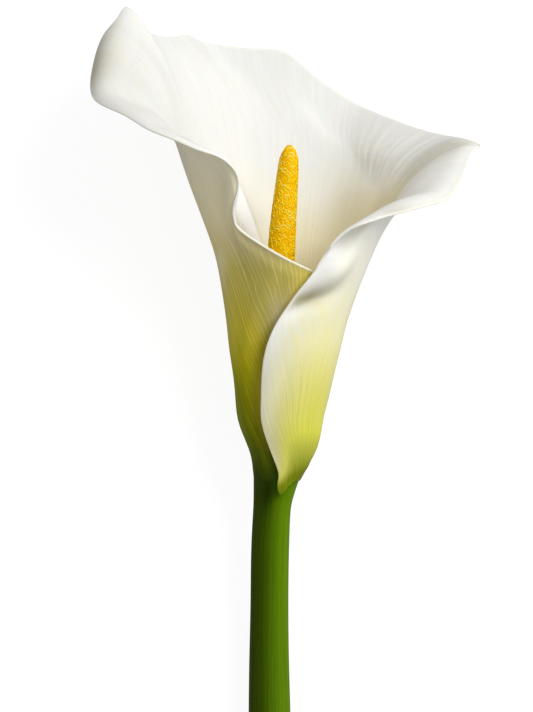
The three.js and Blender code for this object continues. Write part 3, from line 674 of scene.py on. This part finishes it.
def spathe_masks(middle, azimuth, s, inside):
    """One number a point, for where the sheet is coloured or shaded in its own way.

    Each mask is made of soft windows: bell(value - centre, spread) and smooth((value - start) / span),
    in degrees of azimuth and in mm of height or of distance from an edge.
    """
    rim = np.linalg.norm(middle - middle[:, -1:], axis=-1)
    side = np.linalg.norm(middle - middle[:1], axis=-1)
    height, edge = middle[..., 1], np.minimum(rim, side)
    turn = facing(middle)[1]
    where, level, climb, wide = DENT[:4]
    spots = [bell(np.linalg.norm(middle - np.array(tip), axis=-1), TIP_SPOT) for tip in LOBE_TIPS]
    beside = azimuth - FOLD[0] - FOLD[1] * (height - FOLD[2])
    low, high = (np.array(end) for end in BAND_LINE)
    share = np.clip((middle - low) @ (high - low) / np.sum((high - low) ** 2), 0, 1)
    to_band = np.linalg.norm(middle - low - share[..., None] * (high - low), axis=-1)
    margin = bell(azimuth - AZ_FLAP, 16) * smooth((height + 5) / 12)
    # tucked: paler colour beside the outer flap's margin, painted light that lifts the flap's shadow there
    tucked = smooth((azimuth - 316) / 34) * bell(height - 43, 9)
    outside = np.clip((height + 4) / 92, 0, 1) + 0.3 * margin + 0.23 * tucked
    outside += 0.09 * bell(azimuth - 287, 12) * smooth((height - 24) / 12) * smooth((66 - height) / 6)
    outside += 0.12 * bell(rim, 1.5) * smooth((90 - azimuth) / 20) * smooth((20 - height) / 15)
    within = ((height - THROAT_DROP * bell(azimuth - 112, 38)) / 90
              + 0.5 * (1 - smooth((rim - 3) / 24)))
    ripe = np.where(inside > 0.5, np.tile(within.ravel(), 2), np.tile(outside.ravel(), 2))
    masks = {
        "flap": smooth((190 - azimuth) / 90),
        "edge": bell(edge, 0.5) * (0.15 * smooth((height + 2) / 5) + 0.85 * smooth((height - 12) / 30)),
        # painted shadow on the outer flap just below its rolled lip
        "band_shadow": bell(to_band, BAND_SHADE),
        "warmed": bell(azimuth - 350, 26) * smooth((height - 20) / 20),
        # golden tone beside the outer flap's margin, made brighter still as painted light that lifts the
        # flap's shadow
        "golden_with_painted_light": bell(azimuth - 327, 9) * bell(height - 25, 11),
        "fresh": bell(azimuth - 286, 12) * bell(height - 21, 13),
        # painted shade in the crease under the hump of the outer flap
        "crease_shade": bell(turn - where + 7, wide) * bell(height - level - 0.9 - climb * (turn - where), 2.4),
        # front: painted shade, greyer and darker on the tucked side towards the outer flap
        "front": smooth((azimuth - 296) / 40) * (1 - smooth((azimuth - 350) / 20))
        * smooth((height - 8) / 20),
        # painted shade along the edges of both lobes and on the rolled lip of the right one
        "lobe_edge_shade": (bell(rim, 6) + 0.16 * smooth((s - 1.3) / 0.4)) * bell(azimuth - 266, 13)
        + 0.45 * bell(rim, 1.2) * bell(azimuth - 90, 16) + 0.6 * bell(rim, 4) * bell(azimuth - 66, 7),
        # painted shade in the gutter of the right wall's inside and on the inside of the back-right wall
        "gutter_shade": bell(azimuth - 105, 6) * smooth((s - 1.15) / 0.3) * (1 - smooth((s - 1.8) / 0.2))
        + 0.75 * bell(azimuth - 146, 13) * bell(height - 77, 11),
        # painted light on the inside beyond the lit fold, weaker than on the fold itself
        "painted_light_behind_fold": smooth(-beside / 1.5) * bell(np.minimum(beside, 0), 14) * bell(height - 76, 13),
        "lit_fold": smooth(beside / 1.5) * (1 - smooth((beside - 6) / 12)) * bell(height - 76, 11),
        "tip": spots[0] + spots[1],
        "yellowed": bell(turn - 42, 30) * bell(height - 22, 16),
    }
    masks = {key: np.tile(np.clip(values, 0, 1).ravel(), 2) for key, values in masks.items()}
    masks.update(ripe=np.clip(ripe, 0, 1), inside=inside)
    return masks


def vein_group():
    """Single veins: thin lines along the UV map, each strong in some stretches and faint in others."""
    group, nodes, link, given, out, uv = new_group(
        "single_veins", (("Count", 60.0), ("Width", 0.12), ("Wander", 0.6)), "Vein")
    do = partial(maths, nodes, link)
    split = nodes.new("ShaderNodeSeparateXYZ")
    link(uv, split.inputs["Vector"])
    drift = noise_at(nodes, link, uv, (30.0, 2.2, 1.0), 1.0)
    wander = do("MULTIPLY", do("SUBTRACT", drift, 0.5), given["Wander"])
    across = do("ADD", do("MULTIPLY", split.outputs["X"], given["Count"]), wander)
    off = do("ABSOLUTE", do("SUBTRACT", do("FRACT", across), 0.5))
    line = do("SUBTRACT", 1.0, do("DIVIDE", off, given["Width"]), clamp=True)
    stretch = noise_at(nodes, link, uv, (90.0, 1.6, 1.0), 1.0)
    strong = do("SUBTRACT", do("MULTIPLY", stretch, 3.0), 0.9, clamp=True)
    link(do("MULTIPLY", line, strong), out)
    return group


single_veins = partial(from_group, vein_group())


def product(nodes, link, *values):
    result = values[0]
    for value in values[1:]:
        result = maths(nodes, link, "MULTIPLY", result, value)
    return result


def window(nodes, link, value, low, high):
    """0 below low, 1 above high; turned round where low is the greater."""
    node = nodes.new("ShaderNodeMapRange")
    node.inputs["From Min"].default_value = low
    node.inputs["From Max"].default_value = high
    link(value, node.inputs["Value"])
    return node.outputs["Result"]


def washed(nodes, link, base, washes):
    """Colours laid over base one after the other: way of mixing, mask, colour."""
    for how, mask, colour in washes:
        base = mixed(nodes, link, how, mask, base, linear(*colour))
    return base


def spathe_material():
    material, nodes, link, shader = tissue("spathe_tissue", 0.5, 0.05, 0.25, (2.2, 1.6, 0.8))
    ripe, flap, inside = (attribute(nodes, name) for name in ("ripe", "flap", "inside"))
    under, over, within = ramp_of(nodes, UNDER), ramp_of(nodes, FLAP), ramp_of(nodes, INSIDE)
    for ramp in (under, over, within):
        link(ripe, ramp.inputs["Fac"])

    def mask(name, *shares):
        return product(nodes, link, attribute(nodes, name), *shares)

    # the tucked side: olive with a golden zone that is partly painted light, a fresh green zone, pale
    # veins, and painted shade towards the front
    paler = ramp_of(nodes, PALE_VEINS)
    link(ripe, paler.inputs["Fac"])
    pale = product(nodes, link, single_veins(nodes, 88.0, 0.13, 1.3),
                   window(nodes, link, ripe, 0.04, 0.26))
    olive = washed(nodes, link, under.outputs["Color"], (
        ("MIX", mask("golden_with_painted_light", 0.8), (240, 222, 60)),
        ("MIX", mask("fresh", 0.7), (126, 146, 14))))
    lined = mixed(nodes, link, "MIX", pale, olive, paler.outputs["Color"])
    tucked_side = washed(nodes, link, lined, (
        ("MULTIPLY", mask("front"), (218, 219, 236)),
        ("MULTIPLY", mask("warmed"), (255, 252, 236))))
    # the outer flap: a yellow side, yellow and green veins low down, painted shade in a crease and a
    # painted shadow under its lip
    fair = product(nodes, link, single_veins(nodes, 150.0, 0.16, 1.1),
                   window(nodes, link, ripe, 0.86, 0.5), window(nodes, link, ripe, 0.06, 0.24), 0.55)
    green = product(nodes, link, single_veins(nodes, 130.0, 0.13, 1.5),
                    window(nodes, link, ripe, 0.42, 0.16), 0.8)
    flap_side = washed(nodes, link, over.outputs["Color"], (
        ("MULTIPLY", mask("yellowed"), (252, 252, 190)),
        ("MIX", fair, (236, 226, 130)),
        ("MIX", green, (176, 192, 30)),
        ("MULTIPLY", mask("crease_shade"), (174, 170, 142)),
        ("MULTIPLY", mask("band_shadow"), (208, 206, 198))))
    outer = mixed(nodes, link, "MIX", flap, tucked_side, flap_side)
    ground = mixed(nodes, link, "MIX", inside, outer, within.outputs["Color"])
    # fine streaks everywhere, then painted shade on the lobes' edges and in the inside's gutter, painted
    # light on the inside at its fold, the free edge and the tips
    fine = streaks(nodes, 210.0, 2.2, 3.0, 1.6)
    finished = washed(nodes, link, ground, (
        ("MULTIPLY", fine, (249, 249, 246)),
        ("MULTIPLY", streaks(nodes, 46.0, 1.2, 2.0, 1.3), (251, 251, 249)),
        ("MULTIPLY", mask("lobe_edge_shade"), (204, 202, 190)),
        ("MULTIPLY", mask("gutter_shade", inside), (230, 229, 219)),
        ("MIX", mask("painted_light_behind_fold", inside, 0.6), (254, 250, 238)),
        ("MIX", mask("lit_fold", inside, 0.85), (254, 254, 254)),
        ("MIX", mask("edge", 0.75), (249, 246, 232)),
        ("MULTIPLY", mask("tip"), (150, 138, 104))))
    link(finished, shader.inputs["Base Color"])
    link(mask("lit_fold", inside), shader.inputs["Emission Color"])
    shader.inputs["Emission Strength"].default_value = FOLD_GLOW
    bumped(nodes, link, shader, fine, 0.00006)
    return material


spathe = build_spathe()
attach(spathe, "root")
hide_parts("spathe")

# ---------------------------------------------------------------------------
# Spadix: one fleshy spike that stands in the funnel on the end of the stem.
# A soft yellow core, closely covered with small florets and their pollen, each a short
# curled grain set square to the surface in the spiral order of a growing flower head.
# ---------------------------------------------------------------------------
SPADIX_LINE = [   # height, centre across, radius
    (3.3, 1.0, 4.2), (8, 1.0, 4.5), (20, 1.2, 4.4), (45, 1.8, 4.05), (65.8, 2.5, 3.85),
    (78.1, 3.45, 3.4), (87.9, 4.35, 2.85), (93.4, 4.7, 2.4)]
SPADIX_FOOT = 3.3
SPADIX_TOP = 93.4
SPADIX_CAP = 5.4
SPADIX_LEAN = 0.03
CORE_INSET = 0.18
CORE_AROUND = 64
FLORET_INSET = 0.15
FLORET_STEP = 0.86               # from one floret to the next
GOLDEN_TURN = math.radians(137.508)
FULL_TURN = 6.2832
CAP_END = 0.97                   # share of the quarter turn over the tip where the core's rings end
FLORETS_FROM, FLORETS_TO = SPADIX_FOOT + 0.6, SPADIX_TOP - 0.15
SPIRAL_SAMPLES = 3000            # heights at which the spiral's area is added up
SLOPE_REACH = 0.02               # heights this far to both sides give the surface's slope
FLORET_SCALES = (0.7, 1.25)
FLORET_SIZES = {"Length": 0.00105, "Bend": 0.0005, "Thickness": 0.00014, "Seed": 4}
spadix_line = spline(SPADIX_LINE)


def spadix_section(y, inset=0.0):
    line = spadix_line(y)
    cap = np.sqrt(np.clip(1 - np.clip((y - SPADIX_TOP + SPADIX_CAP) / SPADIX_CAP, 0, 1) ** 2, 0, 1))
    return line[..., 0], np.maximum(line[..., 1] - inset, 0.05) * cap


def spadix_points(y, turn, inset):
    across, radius = spadix_section(y, inset)
    return np.stack([across + radius * np.sin(turn), y, -SPADIX_LEAN * y + radius * np.cos(turn)], -1)


def pollen_material(name, stops, roughness):
    material, nodes, link, shader = tissue(name, roughness, 0.06, 0.15, (1.6, 0.9, 0.1))
    colour = ramp_of(nodes, stops)
    link(attribute(nodes, "tint"), colour.inputs["Fac"])
    link(colour.outputs["Color"], shader.inputs["Base Color"])
    return material


def build_core():
    count = CORE_AROUND
    cap = SPADIX_TOP - SPADIX_CAP + SPADIX_CAP * np.sin(np.linspace(0, CAP_END, 12) * np.pi / 2)
    heights = np.concatenate([np.arange(SPADIX_FOOT, SPADIX_TOP - SPADIX_CAP, 1.0), cap])
    turn = np.linspace(0, 2 * np.pi, count, endpoint=False)
    yy, tt = np.meshgrid(heights, turn, indexing="ij")
    points = spadix_points(yy, tt, CORE_INSET).reshape(-1, 3)
    faces = ring_faces(count, len(heights))
    faces.append(tuple(range(count))[::-1])
    faces.append(tuple((len(heights) - 1) * count + i for i in range(count)))
    material = pollen_material("spadix_core", [(0.0, (236, 176, 0)), (1.0, (247, 200, 8))], 0.6)
    tint = 0.5 + 0.5 * np.sin(yy * 5.1 + 7 * tt) * np.sin(yy * 4.3 - 8 * tt)
    return mesh_piece("spadix_core", on_table(points), faces, material, masks={"tint": tint.ravel()})


def floret_tree(material):
    """One bent grain on every point of the incoming mesh, square to its outward direction."""
    tree = bpy.data.node_groups.new("florets", "GeometryNodeTree")
    face = tree.interface
    face.new_socket("Geometry", in_out="INPUT", socket_type="NodeSocketGeometry")
    for label in ("Length", "Bend", "Thickness"):
        face.new_socket(label, in_out="INPUT", socket_type="NodeSocketFloat")
    face.new_socket("Seed", in_out="INPUT", socket_type="NodeSocketInt")
    face.new_socket("Geometry", in_out="OUTPUT", socket_type="NodeSocketGeometry")
    nodes, link = tree.nodes, tree.links.new
    given, out = nodes.new("NodeGroupInput"), nodes.new("NodeGroupOutput")

    def vector(x, y, z):
        node = nodes.new("ShaderNodeCombineXYZ")
        fill(link, node.inputs, (x, y, z))
        return node.outputs["Vector"]

    def random(low, high, kind="FLOAT"):
        node = nodes.new("FunctionNodeRandomValue")
        node.data_type = kind
        node.inputs[2].default_value, node.inputs[3].default_value = low, high
        link(given.outputs["Seed"], node.inputs["Seed"])
        return node.outputs[1]

    spine = nodes.new("GeometryNodeCurveQuadraticBezier")
    spine.inputs["Resolution"].default_value = 4
    back = product(nodes, link, given.outputs["Length"], -0.5)
    front = product(nodes, link, given.outputs["Length"], 0.5)
    link(vector(back, 0.0, 0.0), spine.inputs["Start"])
    link(vector(0.0, given.outputs["Bend"], given.outputs["Thickness"]), spine.inputs["Middle"])
    link(vector(front, 0.0, 0.0), spine.inputs["End"])
    ring = nodes.new("GeometryNodeCurvePrimitiveCircle")
    ring.inputs["Resolution"].default_value = 5
    link(given.outputs["Thickness"], ring.inputs["Radius"])
    grain = nodes.new("GeometryNodeCurveToMesh")
    grain.inputs["Fill Caps"].default_value = True
    link(spine.outputs["Curve"], grain.inputs["Curve"])
    link(ring.outputs["Curve"], grain.inputs["Profile Curve"])

    outward = nodes.new("GeometryNodeInputNamedAttribute")
    outward.data_type = "FLOAT_VECTOR"
    outward.inputs["Name"].default_value = "outward"
    upright = nodes.new("FunctionNodeAlignRotationToVector")
    upright.axis = "Z"
    link(outward.outputs["Attribute"], upright.inputs["Vector"])
    spun = nodes.new("FunctionNodeAxisAngleToRotation")
    spun.inputs["Axis"].default_value = (0, 0, 1)
    link(random(0.0, FULL_TURN), spun.inputs["Angle"])
    turned = nodes.new("FunctionNodeRotateRotation")
    turned.rotation_space = "LOCAL"
    link(upright.outputs["Rotation"], turned.inputs["Rotation"])
    link(spun.outputs["Rotation"], turned.inputs["Rotate By"])

    placed = nodes.new("GeometryNodeInstanceOnPoints")
    link(given.outputs["Geometry"], placed.inputs["Points"])
    link(grain.outputs["Mesh"], placed.inputs["Instance"])
    link(turned.outputs["Rotation"], placed.inputs["Rotation"])
    link(random(*FLORET_SCALES), placed.inputs["Scale"])
    tinted = nodes.new("GeometryNodeStoreNamedAttribute")
    tinted.domain = "INSTANCE"
    tinted.inputs["Name"].default_value = "tint"
    link(placed.outputs["Instances"], tinted.inputs["Geometry"])
    link(random(0.0, 1.0), tinted.inputs["Value"])
    real = nodes.new("GeometryNodeRealizeInstances")
    link(tinted.outputs["Geometry"], real.inputs["Geometry"])
    smooth_faces = nodes.new("GeometryNodeSetShadeSmooth")
    link(real.outputs["Geometry"], smooth_faces.inputs["Geometry"])
    dressed = nodes.new("GeometryNodeSetMaterial")
    dressed.inputs["Material"].default_value = material
    link(smooth_faces.outputs["Geometry"], dressed.inputs["Geometry"])
    link(dressed.outputs["Geometry"], out.inputs["Geometry"])
    return tree


def build_florets():
    y = np.linspace(FLORETS_FROM, FLORETS_TO, SPIRAL_SAMPLES)
    radius = spadix_section(y)[1]
    strip = np.pi * (radius[1:] + radius[:-1]) * np.hypot(np.diff(y), np.diff(radius))
    area = np.concatenate([[0], np.cumsum(strip)])
    count = int(area[-1] / FLORET_STEP ** 2)
    heights = np.interp((np.arange(count) + 0.5) / count * area[-1], area, y)
    turn = np.arange(count) * GOLDEN_TURN
    points = on_table(spadix_points(heights, turn, FLORET_INSET))
    rise = spadix_section(heights + SLOPE_REACH)[1] - spadix_section(heights - SLOPE_REACH)[1]
    outward = np.stack([np.sin(turn), -rise / (2 * SLOPE_REACH), np.cos(turn)], -1)
    outward = lay_down(outward) - lay_down(np.zeros(3))
    outward /= np.linalg.norm(outward, axis=-1, keepdims=True)
    seeds = bpy.data.meshes.new("floret_places")
    seeds.from_pydata(points.tolist(), [], [])
    seeds.attributes.new("outward", "FLOAT_VECTOR", "POINT").data.foreach_set("vector", outward.ravel())
    holder = bpy.data.objects.new("floret_places", seeds)
    bpy.context.scene.collection.objects.link(holder)
    pollen = [(0.0, (240, 182, 0)), (0.5, (251, 206, 8)), (0.85, (254, 222, 40)), (1.0, (255, 238, 120))]
    grown = holder.modifiers.new("florets", "NODES")
    grown.node_group = floret_tree(pollen_material("spadix_pollen", pollen, 0.45))
    for item in grown.node_group.interface.items_tree:
        if item.in_out == "INPUT" and item.name in FLORET_SIZES:
            grown[item.identifier] = FLORET_SIZES[item.name]
    plain = bpy.data.meshes.new_from_object(holder.evaluated_get(bpy.context.evaluated_depsgraph_get()))
    holder.modifiers.remove(grown)
    bpy.data.objects.remove(holder)
    plain.name = "spadix_florets"
    florets = bpy.data.objects.new("spadix_florets", plain)
    bpy.context.scene.collection.objects.link(florets)
    return florets


spadix = build_core()
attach(spadix, "root")
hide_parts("spadix")
florets = build_florets()
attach(florets, "root")
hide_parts("spadix")

# ---------------------------------------------------------------------------
# Table, light and camera: a plain pale surface, a large soft light from the right and front,
# and a camera that looks down on the lying flower, square to its axis.
# ---------------------------------------------------------------------------
MM_PER_PIXEL = 0.28
IMAGE_WIDTH, IMAGE_HEIGHT = 533, 712
CAMERA_DISTANCE = 800.0
SENSOR = 36
TABLE_SIZE, TABLE_DROP = 6.0, 0.0001   # metres; the drop keeps the flower clear of the table
FOOT_PIXEL = (273.0, 478.0)      # where the foot of the spathe is in the frame


def floor_material():
    """Pale table: it shows nearly white with a faint shadow, and throws back little light."""
    material = bpy.data.materials.new("table_top")
    material.use_nodes = True
    nodes, link = material.node_tree.nodes, material.node_tree.links.new
    seen = nodes["Principled BSDF"]
    seen.inputs["Base Color"].default_value = (0.16, 0.16, 0.16, 1)
    seen.inputs["Specular IOR Level"].default_value = 0.0
    seen.inputs["Roughness"].default_value = 0.9
    seen.inputs["Emission Color"].default_value = (1, 1, 1, 1)
    seen.inputs["Emission Strength"].default_value = 0.9
    bounce = nodes.new("ShaderNodeBsdfDiffuse")
    bounce.inputs["Color"].default_value = (0.4, 0.4, 0.4, 1)
    path, choose = nodes.new("ShaderNodeLightPath"), nodes.new("ShaderNodeMixShader")
    link(path.outputs["Is Camera Ray"], choose.inputs[0])
    link(bounce.outputs[0], choose.inputs[1])
    link(seen.outputs[0], choose.inputs[2])
    link(choose.outputs[0], nodes["Material Output"].inputs["Surface"])
    return material


bpy.ops.mesh.primitive_plane_add(size=TABLE_SIZE, location=(0, 0, -TABLE_DROP))
floor = bpy.context.object
floor.name = "table"
floor.data.materials.append(floor_material())

world = bpy.data.worlds.new("studio")
world.use_nodes = True
world.node_tree.nodes["Background"].inputs["Color"].default_value = (1, 1, 1, 1)
world.node_tree.nodes["Background"].inputs["Strength"].default_value = 0.5
bpy.context.scene.world = world


def soft_light(name, place, target, size, energy):
    """place and target in the flower's frame, mm."""
    light = bpy.data.lights.new(name, "AREA")
    light.shape = "SQUARE"
    light.size = size
    light.energy = energy
    holder = bpy.data.objects.new(name, light)
    bpy.context.scene.collection.objects.link(holder)
    spot, aim = (Vector(on_table(np.array(p, float)).tolist()) for p in (place, target))
    holder.location = spot
    holder.rotation_mode = "QUATERNION"
    holder.rotation_quaternion = (aim - spot).to_track_quat("-Z", "Y")


soft_light("key", (400, 430, 600), (0, 60, 0), 0.4, 4.75)
soft_light("side", (600, 20, 180), (0, 50, 0), 0.4, 0.6)

lens = bpy.data.cameras.new("camera")
camera = bpy.data.objects.new("camera", lens)
bpy.context.scene.collection.objects.link(camera)
frame_centre = np.array([(IMAGE_WIDTH / 2 - FOOT_PIXEL[0]) * MM_PER_PIXEL,
                         (FOOT_PIXEL[1] - IMAGE_HEIGHT / 2) * MM_PER_PIXEL, 0.0])
camera.location = on_table(frame_centre + np.array([0, 0, CAMERA_DISTANCE]))
camera.rotation_euler = (TILT, 0, 0)
lens.sensor_width = SENSOR
lens.lens = SENSOR * CAMERA_DISTANCE / (IMAGE_HEIGHT * MM_PER_PIXEL)
bpy.context.scene.camera = camera
bpy.context.scene.view_settings.view_transform = "Standard"
